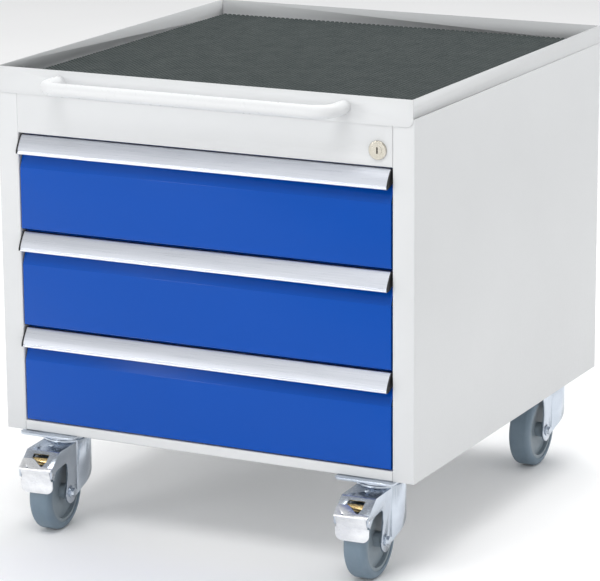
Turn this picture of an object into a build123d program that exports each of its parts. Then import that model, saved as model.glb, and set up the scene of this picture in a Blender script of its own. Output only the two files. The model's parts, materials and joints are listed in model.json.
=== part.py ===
from build123d import *
import os
from math import cos, radians, sin, tan

# Mobile drawer cabinet on swivel casters, in millimetres.
# +X is to the right of the drawer fronts, -Y is the way the drawers open, +Z is up.
# The origin is on the floor, under the centre of the whole object's box.

# Cabinet
WIDTH = 580
DEPTH = 600
CASTER_HEIGHT = 128
PANEL_HEIGHT = 451.5
RIM_HEIGHT = 475
FRONT_REACH = 55.7          # how far the push handle stands out past the cabinet's front
REAR_REACH = 15.5           # how far the rear caster plates stand out past its back
SHEET = 1.5
POST_WIDTH = 29
POST_DEPTH = 20
BEND = 1.0

FRONT = (FRONT_REACH - DEPTH - REAR_REACH) / 2
BACK = FRONT + DEPTH
BASE = CASTER_HEIGHT
PANEL_TOP = BASE + PANEL_HEIGHT
RIM_TOP = BASE + RIM_HEIGHT
INNER_X = WIDTH / 2 - SHEET
POST_X = WIDTH / 2 - POST_WIDTH

# Tray and mat
APRON_DROP = 10
APRON_RADIUS = 10
APRON_PROUD = 1.2
TRAY_INSET = 1.5
TRAY_OVERHANG = 3           # the tray's rear, past the cabinet's back
MAT_GAP = 3.5
MAT_THICK = 3

# Push handle
HANDLE_RADIUS = 8.5
HANDLE_BORE = 6.5
HANDLE_X = 198
HANDLE_Z = BASE + 460
HANDLE_BOW = 46
HANDLE_BEND = 24
HANDLE_PLUG = 16

# Drawers: each drawer's top gap line, and its parts measured from that line
DRAWERS = ("top", "middle", "bottom")
TOP_LINE = BASE + 391
PITCH = 126
LINES = {name: TOP_LINE - PITCH * place for place, name in enumerate(DRAWERS)}
GAP = 1.5
GRIP_GAP = 2.4
FRONT_HALF = 259
FRONT_SHEET = 1.0
FRONT_FOLD = 2.0
FACE_BEND = 44.6
RECESS_ANGLE = 23.6
RECESS_DEPTH = 10.5
FLANGE = 12
BOX_HALF = 247
BOX_SHEET = 1.2
BOX_LENGTH = 550
BOX_LOW = PITCH - 12        # the box's floor, below the line
BOX_HIGH = 22               # the box's open top, below the line

# Slides
SLIDE_LENGTH = 550
SLIDE_SHEET = 1.2
SLIDE_UP = 23               # the slide's centre, above the box's floor
INNER_RAIL = (247, 251.6, 12)
MID_RAIL = (253, 257.2, 18)
CABINET_RAIL = (260, 252.4, 22.5)
UPRIGHT_WIDTH = 40
UPRIGHT_PLACES = (FRONT + 140, BACK - 140)

# Lock
LOCK_X = 242
LOCK_Z = BASE + 411
LOCK_BARREL = 9
PLUG_RADIUS = 6
CAM_THROW = 6.4
CAM_PIN = 2
BAR_BACK = 28
BAR_THICK = 2
BAR_LOW_X = 263
BAR_HIGH_X = 285
TAB_UP = 52
CATCH_UP = 62

# Casters
SWIVEL_X = 226
SWIVEL_IN_FRONT = 41
SWIVEL_IN_REAR = 37
TRAIL = 36
WHEEL_RADIUS = 50
TREAD = 30
CORE_RADIUS = 40
BASE_SHEET = 2
PLATE_SIZE = (80, 105, 3)
BOLT_RADIUS = 3
BOLT_X = 28.5
BOLT_Y = 34
BOLT_Y_REAR = 24            # the rear plates' outer pair, which clears the back panel
RACE_RADIUS = 21
CROWN_RADIUS = 26
SKIRT_RADIUS = 31
KING_PIN = 6
AXLE_RADIUS = 5
LEG_OUTER = 23
LEG_THICK = 2.5
HOOD_CREASE = (67, 111)     # distance ahead of the swivel axis, and height
HOOD_END = (91, 93)
RUNNING = 0.05
PEDAL_PIVOT = (89, 88)
HEADINGS = {"front_left": 4.9, "front_right": 2.0, "rear_left": 0.0, "rear_right": 0.5}


def save(shape, node):
    export_step(shape, f"parts/{node}.step")


def block(x, y, z):
    """A box between the low and high value on each axis."""
    size = (x[1] - x[0], y[1] - y[0], z[1] - z[0])
    return Pos(x[0], y[0], z[0]) * Box(*size, align=(Align.MIN, Align.MIN, Align.MIN))


def both_sides(shape):
    return [shape, mirror(shape, about=Plane.YZ)]


def plan_sheet(points, thickness, radius, z):
    """Folded sheet whose section lies in plan."""
    section = trace(FilletPolyline(*points, radius=radius), line_width=thickness)
    return Pos(0, 0, z[0]) * extrude(section, z[1] - z[0])


def along_x(section, x):
    """A section drawn in (y, z), run from one x to the other."""
    return Pos(x[0], 0, 0) * extrude(Plane.YZ * section, x[1] - x[0], dir=(1, 0, 0))


def cross_sheet(points, thickness, radius, x):
    """Folded sheet whose section is drawn in (y, z)."""
    return along_x(trace(FilletPolyline(*points, radius=radius), line_width=thickness), x)


def rod(radius, start, length, direction):
    plane = Plane(origin=start, z_dir=direction)
    return plane * Cylinder(radius, length, align=(Align.CENTER, Align.CENTER, Align.MIN))


# Cabinet shell

def side_panel():
    """Right side panel with its folded front post and rear flange."""
    mid = SHEET / 2
    post = POST_X + mid
    wall = WIDTH / 2 - mid
    points = [
        (post, FRONT + POST_DEPTH),
        (post, FRONT + mid),
        (wall, FRONT + mid),
        (wall, BACK - mid),
        (wall - POST_DEPTH, BACK - mid),
    ]
    return plan_sheet(points, SHEET, BEND, (BASE, PANEL_TOP))


def front_rail(low, high):
    """Channel between the posts, open to the rear."""
    mid = SHEET / 2
    points = [
        (FRONT + POST_DEPTH, low + mid),
        (FRONT + mid, low + mid),
        (FRONT + mid, high - mid),
        (FRONT + POST_DEPTH, high - mid),
    ]
    return cross_sheet(points, SHEET, BEND, (-POST_X, POST_X))


def top_front_rail():
    rail = front_rail(TOP_LINE, PANEL_TOP - SHEET)
    return rail - rod(LOCK_BARREL, (LOCK_X, FRONT - 1, LOCK_Z), 5, (0, 1, 0))


def bottom_front_rail():
    return drilled(front_rail(BASE, LINES["bottom"] - PITCH))


def back_panel():
    half = INNER_X - 2 * BEND
    return block((-half, half), (BACK - 2 * SHEET, BACK - SHEET), (BASE + BASE_SHEET, PANEL_TOP))


def base_panel():
    depth = (FRONT + POST_DEPTH, BACK - 2 * SHEET)
    return drilled(block((-INNER_X, INNER_X), depth, (BASE, BASE + BASE_SHEET)))


def drilled(sheet):
    """A sheet at the cabinet's base, with the holes for the caster bolts."""
    for x, y in bolt_places():
        sheet -= Pos(x, y, BASE) * Cylinder(BOLT_RADIUS + 0.2, 10)
    return sheet


def top_tray():
    """Tray floor, the four rims around it, and the deeper apron at the front."""
    half = WIDTH / 2 - TRAY_INSET
    front = FRONT - APRON_PROUD
    back = BACK + TRAY_OVERHANG
    inside = (front + SHEET, back - SHEET)
    heights = (PANEL_TOP, RIM_TOP)
    floor = block((SHEET - half, half - SHEET), inside, (PANEL_TOP, PANEL_TOP + SHEET))
    right_rim = block((half - SHEET, half), inside, heights)
    rear_rim = block((-half, half), (back - SHEET, back), heights)
    front_rim = block((-half, half), (front, front + SHEET), heights)
    apron = block((-half, half), (front, FRONT), (PANEL_TOP - APRON_DROP, PANEL_TOP + SHEET))
    front_rim += fillet(lower_front_corners(apron), APRON_RADIUS - 1)
    for sign in (-1, 1):
        front_rim -= rod(3.1, (sign * HANDLE_X, front - 1, HANDLE_Z), 6, (0, 1, 0))
    return Compound([floor, *both_sides(right_rim), rear_rim, front_rim])


def lower_front_corners(apron):
    return apron.edges().filter_by(Axis.Y).group_by(Axis.Z)[0]


def studded_mat():
    half = WIDTH / 2 - TRAY_INSET - SHEET - MAT_GAP
    front = FRONT - APRON_PROUD + SHEET + MAT_GAP
    back = BACK + TRAY_OVERHANG - SHEET - MAT_GAP
    floor = PANEL_TOP + SHEET
    return block((-half, half), (front, back), (floor, floor + MAT_THICK))


# Push handle

def handle_path(end_y):
    out_y = FRONT - APRON_PROUD - HANDLE_BOW
    points = [
        (-HANDLE_X, end_y, HANDLE_Z),
        (-HANDLE_X, out_y, HANDLE_Z),
        (HANDLE_X, out_y, HANDLE_Z),
        (HANDLE_X, end_y, HANDLE_Z),
    ]
    return FilletPolyline(*points, radius=HANDLE_BEND)


def handle_tube(radius, end_y):
    start = Plane(origin=(-HANDLE_X, end_y, HANDLE_Z), z_dir=(0, -1, 0))
    return sweep(start * Circle(radius), path=handle_path(end_y))


def push_handle():
    """Bowed tube with plugged ends, threaded for the screws."""
    face = FRONT - APRON_PROUD
    handle = handle_tube(HANDLE_RADIUS, face) - handle_tube(HANDLE_BORE, face - HANDLE_PLUG)
    for sign in (-1, 1):
        handle -= rod(3, (sign * HANDLE_X, face, HANDLE_Z), HANDLE_PLUG - 3, (0, -1, 0))
    return handle


def handle_screws():
    """Two button-head screws, put in from inside the tray."""
    inside = FRONT - APRON_PROUD + SHEET
    screws = []
    for sign in (-1, 1):
        start = (sign * HANDLE_X, inside, HANDLE_Z)
        head = rod(5, start, 2.6, (0, 1, 0))
        head = chamfer(head.faces().sort_by(Axis.Y)[-1].edges(), 1.2)
        screws.append(head + rod(3, start, SHEET + HANDLE_PLUG - 4, (0, -1, 0)))
    return Compound(screws)


# Drawers

def face_bend(line):
    return line - FACE_BEND


def front_panel(line):
    """Drawer front: flat face, sloping recess for the fingers, and folded edges."""
    mid = FRONT_SHEET / 2
    bottom = line - PITCH + GAP
    bend = face_bend(line)
    deep_z = bend + RECESS_DEPTH / tan(radians(RECESS_ANGLE))
    points = [
        (FRONT + FLANGE, bottom + mid),
        (FRONT + mid, bottom + mid),
        (FRONT + mid, bend),
        (FRONT + RECESS_DEPTH + mid, deep_z),
        (FRONT + RECESS_DEPTH + mid, line - GAP - mid),
        (FRONT + 22, line - GAP - mid),
    ]
    panel = cross_sheet(points, FRONT_SHEET, FRONT_FOLD, (-FRONT_HALF, FRONT_HALF))
    edge = (FRONT_HALF - FRONT_SHEET, FRONT_HALF)
    depth = (FRONT + 0.9, FRONT + FLANGE)
    for flange in both_sides(block(edge, depth, (bottom + 0.9, bend))):
        panel += flange
    return panel


def grip_outline(line, proud=0):
    """Outer curve of the grip, from its top at the rear to its lip."""
    top = line - GRIP_GAP
    rear = (FRONT + RECESS_DEPTH, top)
    corner = (FRONT + 3.4 - proud, top)
    nose = (FRONT - 8.6 - proud, top - 18.8)
    lip = (FRONT - 8.9 - proud, top - 22.6)
    return [rear, corner, nose, lip]


def grip_strip(line):
    """Extruded aluminium hood with a rear flange fixed to the drawer front."""
    rear, corner, nose, lip = grip_outline(line)
    wall = 2
    crown = ((corner[0] + nose[0]) / 2 - 0.9, (corner[1] + nose[1]) / 2 + 0.6)
    inner_nose = (nose[0] + 2.1, nose[1] - 0.4)
    inner_crown = (crown[0] + 1.4, crown[1] - 1.6)
    inner_corner = (corner[0] + 0.9, corner[1] - wall)
    lip_inner = (lip[0] + 2.4, lip[1])
    flange_z = rear[1] - 16.1
    outline = Polyline(inner_corner, (rear[0] - wall, rear[1] - wall), (rear[0] - wall, flange_z))
    outline += Polyline((rear[0] - wall, flange_z), (rear[0], flange_z), rear, corner)
    outline += ThreePointArc(corner, crown, nose)
    outline += Line(nose, lip)
    outline += ThreePointArc(lip, ((lip[0] + lip_inner[0]) / 2, lip[1] - 0.9), lip_inner)
    outline += Line(lip_inner, inner_nose)
    outline += ThreePointArc(inner_nose, inner_crown, inner_corner)
    strip = along_x(make_face(outline), (-FRONT_HALF + 1.6, FRONT_HALF - 1.6))
    for radius, y, z in ((0.9, nose[0] - 0.5, nose[1] - 0.6), (0.6, corner[0] - 2.9, corner[1] - 2.4)):
        strip -= rod(radius, (-FRONT_HALF, y, z), 2 * FRONT_HALF, (1, 0, 0))
    bead = rod(1.5, (1.6 - FRONT_HALF, lip[0] + 1.3, lip[1] + 0.5), 2 * FRONT_HALF - 3.2, (1, 0, 0))
    return strip + bead


def grip_caps(line):
    """Thin plastic plates, a little proud of the hood, that close both its ends."""
    rear, corner, nose, lip = grip_outline(line, 1.2)
    crown = ((corner[0] + nose[0]) / 2 - 0.9, (corner[1] + nose[1]) / 2 + 0.6)
    outline = Polyline(nose, lip, (lip[0] + 3, lip[1]), (rear[0], rear[1] - 16.1), rear, corner)
    outline += ThreePointArc(corner, crown, nose)
    right = along_x(make_face(outline), (FRONT_HALF - 1.6, FRONT_HALF))
    return Compound(both_sides(right))


def box_floor(line):
    return line - BOX_LOW


def drawer_box(line):
    """Open steel box, with the catch that the locking bar holds."""
    low = box_floor(line)
    high = line - BOX_HIGH
    start = FRONT + FLANGE
    box = block((-BOX_HALF, BOX_HALF), (start, start + BOX_LENGTH), (low, high))
    inside = (BOX_HALF - BOX_SHEET, start + BOX_SHEET, start + BOX_LENGTH - BOX_SHEET)
    box -= block((-inside[0], inside[0]), inside[1:], (low + BOX_SHEET, high + 1))
    catch_y = FRONT + BAR_BACK + BAR_THICK + 2
    catch_z = (low + CATCH_UP, low + CATCH_UP + 12)
    box += block((BOX_HALF - BOX_SHEET, BOX_HALF + 10), (catch_y, catch_y + 2), catch_z)
    return box


def channel(web_x, lip_x, half_height, centre_z, y):
    """C-section rail with its web at web_x and lips that reach to lip_x."""
    outward = 1 if lip_x > web_x else -1
    low, high = sorted((web_x, lip_x))
    rail = block((low, high), y, (centre_z - half_height, centre_z + half_height))
    inside = half_height - SLIDE_SHEET
    cut = sorted((web_x + outward * SLIDE_SHEET, lip_x + outward))
    return rail - block(cut, y, (centre_z - inside, centre_z + inside))


def slide_y():
    start = FRONT + POST_DEPTH + 4
    return (start, start + SLIDE_LENGTH)


def rails(line, section):
    web, lip, half = section
    centre = box_floor(line) + SLIDE_UP
    return both_sides(channel(web, lip, half, centre, slide_y()))


def cabinet_rails():
    solids = []
    for line in LINES.values():
        solids += rails(line, CABINET_RAIL)
    return Compound(solids)


def slide_uprights():
    """Hat sections that carry the slides, two against each side panel."""
    solids = []
    mid = SHEET / 2
    near = CABINET_RAIL[0] + mid
    far = INNER_X - mid
    half = UPRIGHT_WIDTH / 2
    for y in UPRIGHT_PLACES:
        points = [
            (far, y - half - 12),
            (far, y - half),
            (near, y - half),
            (near, y + half),
            (far, y + half),
            (far, y + half + 12),
        ]
        solids += both_sides(plan_sheet(points, SHEET, 1, (BASE + BASE_SHEET, PANEL_TOP - 4)))
    return Compound(solids)


# Lock

def lock_housing():
    """Rosette, barrel and rear nut of the cylinder lock."""
    housing = rod(11.7, (LOCK_X, FRONT - 2.5, LOCK_Z), 2.5, (0, 1, 0))
    housing = fillet(housing.faces().sort_by(Axis.Y)[0].edges(), 1.2)
    housing += rod(LOCK_BARREL, (LOCK_X, FRONT, LOCK_Z), 22, (0, 1, 0))
    nut = extrude(Plane(origin=(LOCK_X, FRONT + SHEET, LOCK_Z), z_dir=(0, 1, 0)) * RegularPolygon(12, 6), 5)
    housing += nut
    return housing - rod(PLUG_RADIUS + RUNNING, (LOCK_X, FRONT - 3, LOCK_Z), 30, (0, 1, 0))


def lock_plug():
    plug = rod(PLUG_RADIUS, (LOCK_X, FRONT - 2.8, LOCK_Z), 27.3, (0, 1, 0))
    key_x = (LOCK_X - 0.9, LOCK_X + 0.9)
    return plug - block(key_x, (FRONT - 4, FRONT + 14), (LOCK_Z - 4, LOCK_Z + 4))


def cam_pin_place():
    reach = CAM_THROW * cos(radians(45))
    return (LOCK_X + reach, LOCK_Z - reach)


def lock_cam():
    """Disc on the plug's rear end, with a pin that lifts the bar."""
    x, z = cam_pin_place()
    cam = rod(9.5, (LOCK_X, FRONT + 24.5, LOCK_Z), 2.5, (0, 1, 0))
    return cam + rod(CAM_PIN, (x, FRONT + 27, z), 4, (0, 1, 0))


def locking_bar():
    """Flat bar with a slotted arm at the cam and a tab in front of each drawer's catch."""
    y = (FRONT + BAR_BACK, FRONT + BAR_BACK + BAR_THICK)
    pin_x, pin_z = cam_pin_place()
    low = box_floor(LINES["bottom"]) + TAB_UP - 10
    bar = block((BAR_LOW_X, BAR_HIGH_X), y, (low, pin_z + 10))
    bar += block((LOCK_X - 3, BAR_LOW_X), y, (pin_z - 7, pin_z + 7))
    slot_x = (pin_x - CAM_PIN - 0.6, LOCK_X + CAM_THROW + CAM_PIN + 0.6)
    bar -= block(slot_x, y, (pin_z - CAM_PIN - 0.6, pin_z + CAM_PIN + 0.6))
    for line in LINES.values():
        tab = box_floor(line) + TAB_UP
        bar += block((BOX_HALF + 3, BAR_LOW_X), y, (tab, tab + 8))
    return bar


def bar_guides():
    """Two forked clips on the side panel that the bar slides in."""
    guides = []
    y = (FRONT + BAR_BACK - 3, FRONT + BAR_BACK + BAR_THICK + 3)
    slot_y = (y[0] + 2.6, y[1] - 2.6)
    for z in (BASE + 112, BASE + 352):
        guide = block((BAR_HIGH_X - 16, INNER_X), y, (z, z + 15))
        guides.append(guide - block((BAR_HIGH_X - 20, BAR_HIGH_X + 0.5), slot_y, (z, z + 15)))
    return Compound(guides)


# Casters, drawn about the swivel axis with the wheel trailing to -Y

def caster_place(corner):
    x = -SWIVEL_X if corner.endswith("left") else SWIVEL_X
    y = FRONT + SWIVEL_IN_FRONT if corner.startswith("front") else BACK - SWIVEL_IN_REAR
    return x, y


def turned(shape, corner):
    x, y = caster_place(corner)
    return Pos(x, y, 0) * Rot(0, 0, HEADINGS[corner]) * shape


def bolt_offsets(corner):
    rear_y = BOLT_Y if corner.startswith("front") else BOLT_Y_REAR
    return [(x, y) for x in (-BOLT_X, BOLT_X) for y in (-BOLT_Y, rear_y)]


def bolt_places():
    places = []
    for corner in HEADINGS:
        x, y = caster_place(corner)
        places += [(x + dx, y + dy) for dx, dy in bolt_offsets(corner)]
    return places


def caster_plate(corner):
    """Top plate with the fixed ball race and the king pin."""
    width, length, thick = PLATE_SIZE
    x, y = caster_place(corner)
    plate = Box(width, length, thick, align=(Align.CENTER, Align.CENTER, Align.MAX))
    plate = fillet(plate.edges().filter_by(Axis.Z), 8)
    for dx, dy in bolt_offsets(corner):
        plate -= Pos(dx, dy, 0) * Cylinder(BOLT_RADIUS + 0.2, 20)
    plate = Pos(0, 0, BASE) * plate
    race_top = BASE - thick
    race = rod(RACE_RADIUS, (0, 0, race_top), 6.5, (0, 0, -1))
    race = chamfer(race.faces().sort_by(Axis.Z)[0].edges(), 2)
    pin = rod(KING_PIN, (0, 0, race_top), 14, (0, 0, -1))
    head = rod(9, (0, 0, race_top - 11.4), 2.6, (0, 0, -1))
    return Pos(x, y, 0) * (plate + race + pin + head)


def caster_bolts():
    """Hexagon bolts through the plates and the sheet above them, with nuts inside."""
    bolts = []
    under = BASE - PLATE_SIZE[2]
    for x, y in bolt_places():
        seat = BASE + (SHEET if y < FRONT + POST_DEPTH else BASE_SHEET)
        head = Pos(x, y, under - 4) * extrude(RegularPolygon(5.7, 6), 4)
        shank = rod(BOLT_RADIUS, (x, y, under), 12, (0, 0, 1))
        nut = Pos(x, y, seat) * extrude(RegularPolygon(5.7, 6), 5)
        bolts.append(head + shank + nut)
    return Compound(bolts)


def forward(points):
    """Points given as (distance ahead of the swivel axis, height) in (y, z)."""
    return [(-ahead, height) for ahead, height in points]


def fork_crown():
    """Raised disc round the king pin, on a wider ring that the skirt hangs from."""
    centred = (Align.CENTER, Align.CENTER, Align.MIN)
    crown = Pos(0, 0, 114) * Cylinder(CROWN_RADIUS, 3, align=centred)
    crown -= Pos(0, 0, 110) * Cylinder(KING_PIN + RUNNING, 20)
    ring = Pos(0, 2, 112) * Cylinder(SKIRT_RADIUS, 2.5, align=centred)
    return crown + (ring - Pos(0, 0, 110) * Cylinder(12, 5, align=centred))


def fork_skirt():
    """Rounded rear of the fork, cut away below towards the axle."""
    height = 114 - 36
    ring = Cylinder(SKIRT_RADIUS, height) - Cylinder(SKIRT_RADIUS - 2, height)
    ring = Pos(0, 2, 36 + height / 2) * ring
    ring -= block((-SKIRT_RADIUS, SKIRT_RADIUS), (-40, -20), (30, 120))
    ring -= block((-LEG_OUTER + 1, LEG_OUTER - 1), (-40, 0), (30, 120))
    edge = [(-35, 30), (-35, 92), (-30, 84), (-20, 74), (13, 50), (24, 36), (24, 30)]
    below = Polygon(*forward(edge), align=None)
    return ring - along_x(below, (-SKIRT_RADIUS, SKIRT_RADIUS))


def legs(outline):
    """Both side plates, each with a rounded end about the axle."""
    section = Polygon(*forward(outline), align=None)
    section += Pos(-TRAIL, WHEEL_RADIUS - 1) * Circle(14)
    section -= Pos(-TRAIL, WHEEL_RADIUS) * Circle(AXLE_RADIUS)
    return both_sides(along_x(section, (LEG_OUTER - LEG_THICK, LEG_OUTER)))


def fork_top(points):
    return cross_sheet(forward(points), LEG_THICK, 3, (-LEG_OUTER, LEG_OUTER))


def front_fork():
    """Fork with a hood over the wheel that houses the brake."""
    hood = [(17, 112), (67.6, 112), (91.8, 93.9), (91.5, 83), (85.5, 79)]
    arch = [(79, 88.5), (70, 91), (52, 92.6), (47.5, 91), (44.5, 86), (44.5, 75), (50, 50)]
    fork = fork_crown() + fork_skirt()
    for leg in legs(hood + arch + [(22, 46), (17, 50)]):
        fork += leg
    fork += fork_top([(13, HOOD_CREASE[1]), HOOD_CREASE, HOOD_END])
    fork += Pos(0, -44, 112) * Cylinder(3, 2.4, align=(Align.CENTER, Align.CENTER, Align.MIN))
    for side in (-1, 1):
        fork -= rod(2 + RUNNING, (side * 15, *forward([PEDAL_PIVOT])[0]), 12, (side, 0, 0))
    return fork - extrude(hood_slope() * brake_window(), 4, both=True)


def hood_slope():
    """Plane along the middle of the hood's sloping sheet, with y down the slope from the crease."""
    ahead, height = HOOD_CREASE
    run = (HOOD_END[0] - ahead, HOOD_END[1] - height)
    return Plane(origin=(0, -ahead, height), x_dir=(-1, 0, 0), z_dir=(0, run[1], run[0]))


def brake_window():
    """Tapered window in the hood, as (across, down the slope)."""
    corners = [(-11, 5.5), (11, 5.5), (10.4, 17), (7.6, 25), (5.5, 25), (-6.5, 15), (-11, 13)]
    return Polygon(*[(-across, down) for across, down in corners], align=None)


def rear_fork():
    fork = fork_crown() + fork_skirt()
    outline = [(17, 112), (44, 112), (52, 105), (47, 90), (44.5, 75), (50, 50), (22, 46), (17, 50)]
    for leg in legs(outline):
        fork += leg
    return fork + fork_top([(13, 111), (44, 111), (50, 105.5)])


def axle():
    """Axle bolt with a collar, a hexagon head and a nut, held in the fork."""
    shaft = rod(AXLE_RADIUS, (-LEG_OUTER - 1, -TRAIL, WHEEL_RADIUS), 2 * LEG_OUTER + 2, (1, 0, 0))
    for side in (-1, 1):
        shaft += rod(7.5, (side * LEG_OUTER, -TRAIL, WHEEL_RADIUS), 1.4, (side, 0, 0))
        plane = Plane(origin=(side * (LEG_OUTER + 1.4), -TRAIL, WHEEL_RADIUS), z_dir=(side, 0, 0))
        shaft += extrude(plane * RegularPolygon(5.8, 6), 4)
    return shaft


def about_axle(section):
    """A wheel part, from its section in (x, height above the axle)."""
    wheel = revolve(Plane.XZ * section, Axis.X)
    return Pos(0, -TRAIL, WHEEL_RADIUS) * wheel


def wheel_core():
    bore = AXLE_RADIUS + RUNNING
    half = TREAD / 2
    section = span(bore, 10, 18) + span(9, CORE_RADIUS - 4, 9)
    section += span(CORE_RADIUS - 4.5, CORE_RADIUS, half - 1)
    return about_axle(section)


def span(low, high, half_width):
    """Rectangle from one radius to another, centred across the wheel."""
    return Pos(0, (low + high) / 2) * Rectangle(2 * half_width, high - low)


def tyre():
    section = span(CORE_RADIUS, WHEEL_RADIUS, TREAD / 2)
    section = fillet(section.vertices().group_by(Axis.Y)[-1], 7)
    return about_axle(section)


def brake_pedal():
    """Foot pedal: a sheet over the hood's lower edge, folded back to the foot plate."""
    ahead, height = PEDAL_PIVOT
    knuckle = rod(3, (-19, -ahead, height), 38, (1, 0, 0))
    pin = rod(2, (-LEG_OUTER, -ahead, height), 2 * LEG_OUTER, (1, 0, 0))
    path = forward([(80.5, 104), (94, 93.9), (91, 87), (88.5, 78)])
    sheet = cross_sheet(path, 1.6, 2, (-22.3, 22.3))
    sheet -= extrude(hood_slope() * Polygon(*cover_cut(), align=None), 5, both=True)
    sheet -= rod(1.3, (-11, -90, 92), 12, (0, -0.6, 0.8))
    for notch in ((-23, -20.2), (20.2, 23)):
        sheet -= block(notch, (-96, -85), (78.6, 92.5))
    plate = block((-22.3, 22.3), (-89.3, -87.7), (61.5, 78.6))
    plate = fillet(plate.edges().filter_by(Axis.Y).group_by(Axis.Z)[0], 9)
    return knuckle + pin + sheet + plate


def cover_cut():
    """What is missing from the pedal's upper sheet, as (-across, down the slope)."""
    corners = [(-30, -5), (30, -5), (30, 28), (6, 26.5), (-6.5, 16.5), (-11, 14.5), (-30, 17)]
    return [(-across, down) for across, down in corners]


def brake_adjuster():
    """Brass adjusting sleeve seen through the window in the hood."""
    half = LEG_OUTER - LEG_THICK
    return rod(5, (-half, -72.5, 99), 2 * half, (1, 0, 0))


def write_cabinet():
    right, left = both_sides(side_panel())
    save(right, "side_panel_right")
    save(left, "side_panel_left")
    save(back_panel(), "back_panel")
    save(base_panel(), "base_panel")
    save(top_front_rail(), "top_front_rail")
    save(bottom_front_rail(), "bottom_front_rail")
    save(top_tray(), "top_tray")
    save(studded_mat(), "studded_mat")
    save(push_handle(), "push_handle")
    save(handle_screws(), "handle_screws")
    save(slide_uprights(), "slide_uprights")
    save(cabinet_rails(), "cabinet_rails")


def write_drawers():
    for name, line in LINES.items():
        save(front_panel(line), f"drawer_{name}_front")
        save(grip_strip(line), f"drawer_{name}_grip")
        save(grip_caps(line), f"drawer_{name}_grip_caps")
        save(drawer_box(line), f"drawer_{name}_box")
        save(Compound(rails(line, INNER_RAIL)), f"drawer_{name}_inner_rails")
        save(Compound(rails(line, MID_RAIL)), f"drawer_{name}_mid_rails")


def write_lock():
    save(lock_housing(), "lock_housing")
    save(lock_plug(), "lock_plug")
    save(lock_cam(), "lock_cam")
    save(locking_bar(), "locking_bar")
    save(bar_guides(), "bar_guides")


def write_casters():
    save(caster_bolts(), "caster_bolts")
    for corner in HEADINGS:
        front = corner.startswith("front")
        save(caster_plate(corner), f"caster_plate_{corner}")
        save(turned(front_fork() if front else rear_fork(), corner), f"fork_{corner}")
        save(turned(axle(), corner), f"axle_{corner}")
        save(turned(wheel_core(), corner), f"wheel_core_{corner}")
        save(turned(tyre(), corner), f"tyre_{corner}")
        if front:
            save(turned(brake_pedal(), corner), f"brake_pedal_{corner}")
            save(turned(brake_adjuster(), corner), f"brake_adjuster_{corner}")


os.makedirs("parts", exist_ok=True)
write_cabinet()
write_drawers()
write_lock()
write_casters()
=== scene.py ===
import json
import math

import bmesh
import bpy
from mathutils import Matrix, Vector

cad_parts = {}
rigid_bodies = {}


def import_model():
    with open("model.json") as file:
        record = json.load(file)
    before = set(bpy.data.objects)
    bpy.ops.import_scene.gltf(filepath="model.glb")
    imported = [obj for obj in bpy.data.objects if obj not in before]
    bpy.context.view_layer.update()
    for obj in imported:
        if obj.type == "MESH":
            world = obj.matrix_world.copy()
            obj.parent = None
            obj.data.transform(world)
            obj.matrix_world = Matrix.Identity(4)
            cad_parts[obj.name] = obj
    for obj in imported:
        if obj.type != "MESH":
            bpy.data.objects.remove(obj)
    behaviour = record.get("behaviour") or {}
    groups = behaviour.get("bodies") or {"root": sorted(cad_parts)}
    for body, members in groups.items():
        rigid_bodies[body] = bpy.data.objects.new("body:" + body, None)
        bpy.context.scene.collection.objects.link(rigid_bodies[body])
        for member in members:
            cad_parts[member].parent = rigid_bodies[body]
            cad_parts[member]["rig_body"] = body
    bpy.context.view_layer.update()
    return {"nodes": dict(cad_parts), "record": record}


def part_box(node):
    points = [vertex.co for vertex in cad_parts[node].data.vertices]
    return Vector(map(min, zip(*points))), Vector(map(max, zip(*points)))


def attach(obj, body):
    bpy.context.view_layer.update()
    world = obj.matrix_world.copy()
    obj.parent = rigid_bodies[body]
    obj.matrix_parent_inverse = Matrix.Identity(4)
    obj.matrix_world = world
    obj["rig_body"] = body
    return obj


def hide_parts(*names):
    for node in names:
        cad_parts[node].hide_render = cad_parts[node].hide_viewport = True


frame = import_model()
nodes = frame["nodes"]

CORNERS = ("front_left", "front_right", "rear_left", "rear_right")
DRAWERS = ("top", "middle", "bottom")


# Node helpers

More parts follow.
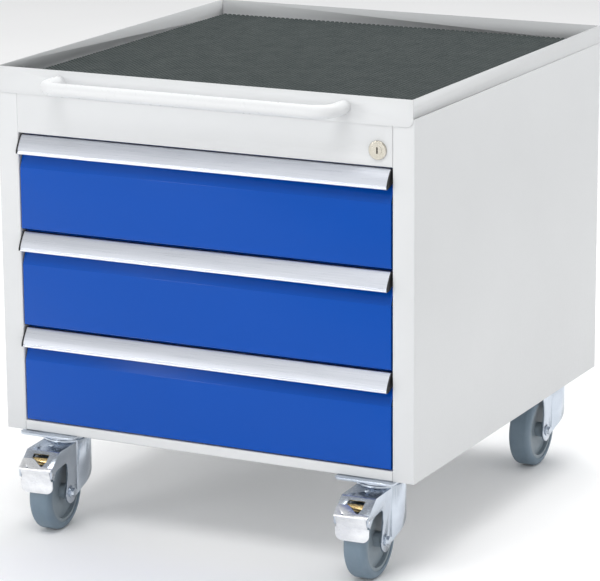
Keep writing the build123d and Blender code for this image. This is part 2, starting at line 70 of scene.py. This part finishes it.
class Nodes:
    """A material's node tree, with short calls for the nodes used here."""

    def __init__(self, name):
        self.material = bpy.data.materials.new(name)
        self.material.use_nodes = True
        self.tree = self.material.node_tree
        self.shader = self.tree.nodes["Principled BSDF"]
        self.place = self.add("ShaderNodeTexCoord").outputs["Object"]

    def add(self, kind, **settings):
        node = self.tree.nodes.new(kind)
        for key, value in settings.items():
            setattr(node, key, value)
        return node

    def link(self, source, target):
        self.tree.links.new(source, target)

    def set(self, **values):
        for key, value in values.items():
            self.shader.inputs[key.replace("_", " ")].default_value = value

    def stretched(self, scale):
        mapping = self.add("ShaderNodeMapping")
        mapping.inputs["Scale"].default_value = scale
        self.link(self.place, mapping.inputs["Vector"])
        return mapping.outputs["Vector"]

    def noise(self, scale, detail=3.0, rough=0.5, vector=None):
        noise = self.add("ShaderNodeTexNoise")
        noise.inputs["Scale"].default_value = scale
        noise.inputs["Detail"].default_value = detail
        noise.inputs["Roughness"].default_value = rough
        self.link(vector or self.place, noise.inputs["Vector"])
        return noise.outputs["Fac"]

    def span(self, source, low_value, high_value, source_low=0.3, source_high=0.7):
        spread = self.add("ShaderNodeMapRange")
        spread.inputs["From Min"].default_value = source_low
        spread.inputs["From Max"].default_value = source_high
        spread.inputs["To Min"].default_value = low_value
        spread.inputs["To Max"].default_value = high_value
        self.link(source, spread.inputs["Value"])
        return spread.outputs["Result"]

    def colours(self, source, first, second, low_at=0.3, high_at=0.7):
        ramp = self.add("ShaderNodeValToRGB")
        ramp.color_ramp.elements[0].position = low_at
        ramp.color_ramp.elements[0].color = (*first, 1)
        ramp.color_ramp.elements[1].position = high_at
        ramp.color_ramp.elements[1].color = (*second, 1)
        self.link(source, ramp.inputs["Fac"])
        return ramp.outputs["Color"]

    def bump(self, height, strength, distance):
        bump = self.add("ShaderNodeBump")
        bump.inputs["Strength"].default_value = strength
        bump.inputs["Distance"].default_value = distance
        self.link(height, bump.inputs["Height"])
        self.link(bump.outputs["Normal"], self.shader.inputs["Normal"])

    def wire(self, socket, source):
        self.link(source, self.shader.inputs[socket])


def shade(colour, factor):
    return tuple(min(1.0, channel * factor) for channel in colour)


# Materials

def powder_coat(name, colour, roughness=0.42, grain=1400, strength=0.10, specular=0.25):
    """Baked powder paint: faint orange peel, slightly uneven gloss and tone."""
    mat = Nodes(name)
    cloud = mat.noise(3.5, 4, 0.55)
    mat.wire("Base Color", mat.colours(cloud, shade(colour, 0.975), shade(colour, 1.02)))
    mat.wire("Roughness", mat.span(mat.noise(220, 4), roughness - 0.04, roughness + 0.05))
    mat.bump(mat.noise(grain, 2), strength, 0.0002)
    mat.set(Specular_IOR_Level=specular)
    return mat.material


def brushed_aluminium():
    """Anodised extrusion, brushed along its length."""
    mat = Nodes("grip_aluminium")
    lines = mat.noise(1.0, 5, 0.6, mat.stretched((14, 4200, 4200)))
    mat.wire("Base Color", mat.colours(lines, (0.60, 0.63, 0.69), (0.74, 0.76, 0.81)))
    mat.wire("Roughness", mat.span(lines, 0.26, 0.40))
    mat.bump(lines, 0.12, 0.0001)
    mat.set(Metallic=1.0)
    return mat.material


def zinc_plate(name, dark, light, roughness, grain=90):
    """Zinc plating: cloudy blue-grey tone with fine scratches."""
    mat = Nodes(name)
    cloud = mat.noise(grain, 5, 0.6)
    scratches = mat.noise(1.0, 3, 0.5, mat.stretched((260, 1900, 2600)))
    mat.wire("Base Color", mat.colours(cloud, dark, light))
    mat.wire("Roughness", mat.span(scratches, roughness - 0.06, roughness + 0.10))
    mat.bump(scratches, 0.08, 0.0001)
    mat.set(Metallic=1.0)
    return mat.material


def rubber(name, dark, light, roughness, grain=900, strength=0.25):
    mat = Nodes(name)
    mat.wire("Base Color", mat.colours(mat.noise(45, 5, 0.6), dark, light))
    fine = mat.noise(grain, 3)
    mat.wire("Roughness", mat.span(fine, roughness - 0.06, roughness + 0.06))
    mat.bump(fine, strength, 0.00015)
    mat.set(Specular_IOR_Level=0.35)
    return mat.material


def satin_metal(name, dark, light, roughness):
    mat = Nodes(name)
    cloud = mat.noise(420, 4)
    mat.wire("Base Color", mat.colours(cloud, dark, light))
    mat.wire("Roughness", mat.span(cloud, roughness - 0.05, roughness + 0.05))
    mat.bump(cloud, 0.05, 0.0001)
    mat.set(Metallic=1.0)
    return mat.material


def make_materials():
    return {
        "body_paint": powder_coat("body_paint", (0.642, 0.651, 0.657)),
        "handle_paint": powder_coat("handle_paint", (0.67, 0.678, 0.684), roughness=0.30),
        "drawer_paint": powder_coat(
            "drawer_paint", (0.001, 0.066, 0.38), roughness=0.22, strength=0.05, specular=0.18
        ),
        "box_paint": powder_coat("box_paint", (0.64, 0.65, 0.655), roughness=0.45),
        "grip_aluminium": brushed_aluminium(),
        "black_plastic": rubber("black_plastic", (0.012, 0.012, 0.013), (0.02, 0.02, 0.022), 0.45),
        "mat_rubber": rubber("mat_rubber", (0.033, 0.044, 0.044), (0.051, 0.062, 0.061), 0.72),
        "zinc_steel": zinc_plate("zinc_steel", (0.50, 0.55, 0.62), (0.60, 0.65, 0.72), 0.20, grain=45),
        "pedal_steel": zinc_plate("pedal_steel", (0.80, 0.81, 0.83), (0.92, 0.93, 0.94), 0.30),
        "slide_steel": zinc_plate("slide_steel", (0.50, 0.52, 0.55), (0.62, 0.64, 0.66), 0.34),
        "lock_nickel": satin_metal("lock_nickel", (0.50, 0.47, 0.40), (0.62, 0.59, 0.52), 0.24),
        "brass": satin_metal("brass", (0.62, 0.42, 0.16), (0.86, 0.66, 0.34), 0.26),
        "tyre_rubber": rubber("tyre_rubber", (0.145, 0.200, 0.250), (0.175, 0.230, 0.280), 0.50),
        "wheel_plastic": rubber("wheel_plastic", (0.20, 0.245, 0.28), (0.24, 0.285, 0.32), 0.40),
    }


materials = make_materials()


def dress_cad_nodes():
    for part in frame["record"]["subparts"]:
        for slot in nodes[part["node"]].material_slots:
            slot.material = materials[part["material_slot"]]


dress_cad_nodes()


# Detailed pieces

def body_of(node):
    return nodes[node]["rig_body"]


def slot_of(node):
    parts = frame["record"]["subparts"]
    return next(part["material_slot"] for part in parts if part["node"] == node)


def add_piece(name, mesh, body, slot):
    """Links a mesh as a piece of the object, in its slot's material."""
    piece = bpy.data.objects.new(name, mesh)
    bpy.context.scene.collection.objects.link(piece)
    mesh.materials.clear()
    mesh.materials.append(materials[slot])
    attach(piece, body)
    return piece


SAME_POINT = 2e-6
FLAT_ANGLE = math.radians(1)
EDGE_ANGLE = math.radians(35)


def eased(node, width):
    """Copy of a CAD node with its sharp edges rounded, shown in its place."""
    mesh = nodes[node].data.copy()
    shape = bmesh.new()
    shape.from_mesh(mesh)
    bmesh.ops.remove_doubles(shape, verts=shape.verts, dist=SAME_POINT)
    bmesh.ops.dissolve_limit(shape, angle_limit=FLAT_ANGLE, verts=shape.verts, edges=shape.edges)
    shape.to_mesh(mesh)
    shape.free()
    for face in mesh.polygons:
        face.use_smooth = True
    piece = add_piece("eased_" + node, mesh, body_of(node), slot_of(node))
    bevel = piece.modifiers.new("edges", "BEVEL")
    bevel.width = width
    bevel.segments = 2
    bevel.limit_method = "ANGLE"
    bevel.angle_limit = EDGE_ANGLE
    bevel.harden_normals = True
    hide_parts(node)


STUD_PITCH = 0.007
STUD_FOOT = 0.0058
STUD_CROWN = 0.0026
SHEET_SHARE = 0.4               # the part of the mat's thickness that lies below the studs


def studded_mat():
    """Rubber mat with a square grid of small pyramid studs."""
    corner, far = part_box("studded_mat")
    floor = corner.z + (far.z - corner.z) * SHEET_SHARE
    across = int((far.x - corner.x) / STUD_PITCH)
    along = int((far.y - corner.y) / STUD_PITCH)
    step_x = (far.x - corner.x) / across
    step_y = (far.y - corner.y) / along
    shape = bmesh.new()
    places_x = [corner.x + column * step_x for column in range(across + 1)]
    places_y = [corner.y + row * step_y for row in range(along + 1)]
    grid = [[shape.verts.new((x, y, floor)) for x in places_x] for y in places_y]
    for row in range(along):
        for column in range(across):
            add_stud(shape, grid, row, column, far.z)
    close_mat(shape, grid, corner.z)
    mesh = bpy.data.meshes.new("studded_mat_detail")
    shape.to_mesh(mesh)
    shape.free()
    piece = add_piece("studded_mat_detail", mesh, "cabinet", "mat_rubber")
    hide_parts("studded_mat")


def add_stud(shape, grid, row, column, top):
    """One pyramid stud inside one cell of the grid, joined to the cell's corners."""
    near, far = grid[row], grid[row + 1]
    cell = [near[column], near[column + 1], far[column + 1], far[column]]
    centre = sum((vert.co for vert in cell), Vector()) / 4
    foot = ring(shape, centre, STUD_FOOT, centre.z)
    crown = ring(shape, centre, STUD_CROWN, top)
    for side in range(4):
        after = (side + 1) % 4
        shape.faces.new((cell[side], cell[after], foot[after], foot[side]))
        shape.faces.new((foot[side], foot[after], crown[after], crown[side]))
    shape.faces.new(crown)


def ring(shape, centre, width, height):
    half = width / 2
    corners = ((-half, -half), (half, -half), (half, half), (-half, half))
    return [shape.verts.new((centre.x + x, centre.y + y, height)) for x, y in corners]


def close_mat(shape, grid, bottom):
    """Walls and underside of the mat."""
    rim = grid[0] + [row[-1] for row in grid[1:]]
    rim += grid[-1][-2::-1] + [row[0] for row in grid[-2:0:-1]]
    under = [shape.verts.new((vert.co.x, vert.co.y, bottom)) for vert in rim]
    count = len(rim)
    for place in range(count):
        after = (place + 1) % count
        shape.faces.new((rim[after], rim[place], under[place], under[after]))
    shape.faces.new(list(reversed(under)))


CABINET_SHEETS = ["side_panel_left", "side_panel_right", "top_front_rail", "bottom_front_rail", "top_tray"]
EASED = (
    (0.0003, CABINET_SHEETS),
    (0.0004, [f"drawer_{name}_front" for name in DRAWERS]),
    (0.0003, [f"drawer_{name}_box" for name in DRAWERS]),
    (0.0003, [f"drawer_{name}_grip_caps" for name in DRAWERS]),
    (0.0010, [f"fork_{name}" for name in CORNERS]),
    (0.0006, [f"axle_{name}" for name in CORNERS]),
    (0.0006, [f"caster_plate_{name}" for name in CORNERS]),
    (0.0005, ["caster_bolts", "brake_pedal_front_left", "brake_pedal_front_right"]),
)


def make_pieces():
    studded_mat()
    for width, names in EASED:
        for name in names:
            eased(name, width)


make_pieces()


# Floor, light and camera

FLOOR_REACH = 30.0


def make_floor():
    mesh = bpy.data.meshes.new("floor")
    signs = ((-1, -1), (1, -1), (1, 1), (-1, 1))
    corners = [(FLOOR_REACH * x, FLOOR_REACH * y, 0) for x, y in signs]
    mesh.from_pydata(corners, [], [(0, 1, 2, 3)])
    floor = bpy.data.objects.new("floor", mesh)
    bpy.context.scene.collection.objects.link(floor)
    mat = Nodes("floor_paper")
    mat.wire("Base Color", mat.colours(mat.noise(2.0), (0.95, 0.95, 0.95), (0.97, 0.97, 0.97)))
    mat.set(Roughness=0.9, Specular_IOR_Level=0.1)
    mesh.materials.append(mat.material)


def area_light(name, place, aim, size, power, colour=(1, 1, 1)):
    light = bpy.data.lights.new(name, "AREA")
    light.shape = "RECTANGLE"
    light.size, light.size_y = size
    light.energy = power
    light.color = colour
    lamp = bpy.data.objects.new(name, light)
    lamp.location = place
    lamp.rotation_euler = (Vector(aim) - Vector(place)).to_track_quat("-Z", "Y").to_euler()
    bpy.context.scene.collection.objects.link(lamp)


def make_lights():
    middle = (0, 0, 0.3)
    area_light("key", (0.3, -2.2, 3.6), middle, (2.0, 1.5), 50)
    area_light("front_left", (-1.82, -3.56, 1.0), middle, (0.9, 0.4), 22)
    area_light("top", (0.2, 1.3, 3.5), middle, (3.2, 2.0), 76)
    make_sky()


SKY_HORIZON = 0.93
SKY_ZENITH = 0.42
SKY_FADE = (0.45, 0.92)         # the heights on a unit dome between which it darkens


def make_sky():
    """White studio dome, darker overhead."""
    world = bpy.data.worlds.new("studio")
    world.use_nodes = True
    tree = world.node_tree
    place = tree.nodes.new("ShaderNodeTexCoord")
    parts = tree.nodes.new("ShaderNodeSeparateXYZ")
    tree.links.new(place.outputs["Generated"], parts.inputs["Vector"])
    fade = tree.nodes.new("ShaderNodeMapRange")
    fade.inputs["From Min"].default_value = SKY_FADE[0]
    fade.inputs["From Max"].default_value = SKY_FADE[1]
    fade.inputs["To Min"].default_value = SKY_HORIZON
    fade.inputs["To Max"].default_value = SKY_ZENITH
    tree.links.new(parts.outputs["Z"], fade.inputs["Value"])
    background = tree.nodes["Background"]
    background.inputs["Color"].default_value = (0.985, 0.992, 1.0, 1)
    tree.links.new(fade.outputs["Result"], background.inputs["Strength"])
    bpy.context.scene.world = world


CAMERA_AZIMUTH = math.radians(26.7996)
CAMERA_ELEVATION = math.radians(14.0465)
CAMERA_ROLL = math.radians(-0.4191)
CAMERA_DISTANCE = 4.103
CAMERA_LENS = 185.49
SENSOR_WIDTH = 36
CAMERA_AIM = Vector((-0.0087, 0.0079, 0.2749))


def make_camera():
    flat = math.cos(CAMERA_ELEVATION)
    east, north = math.sin(CAMERA_AZIMUTH), math.cos(CAMERA_AZIMUTH)
    ahead = Vector((-east * flat, north * flat, -math.sin(CAMERA_ELEVATION)))
    right = Vector((north, east, 0))
    up = right.cross(ahead)
    turned_right = right * math.cos(CAMERA_ROLL) + up * math.sin(CAMERA_ROLL)
    turned_up = up * math.cos(CAMERA_ROLL) - right * math.sin(CAMERA_ROLL)
    camera_data = bpy.data.cameras.new("camera")
    camera_data.sensor_fit = "HORIZONTAL"
    camera_data.sensor_width = SENSOR_WIDTH
    camera_data.lens = CAMERA_LENS
    camera = bpy.data.objects.new("camera", camera_data)
    turn = Matrix((turned_right, turned_up, -ahead)).transposed().to_4x4()
    camera.matrix_world = Matrix.Translation(CAMERA_AIM - ahead * CAMERA_DISTANCE) @ turn
    bpy.context.scene.collection.objects.link(camera)
    bpy.context.scene.camera = camera


make_floor()
make_lights()
make_camera()
bpy.context.scene.view_settings.view_transform = "Standard"
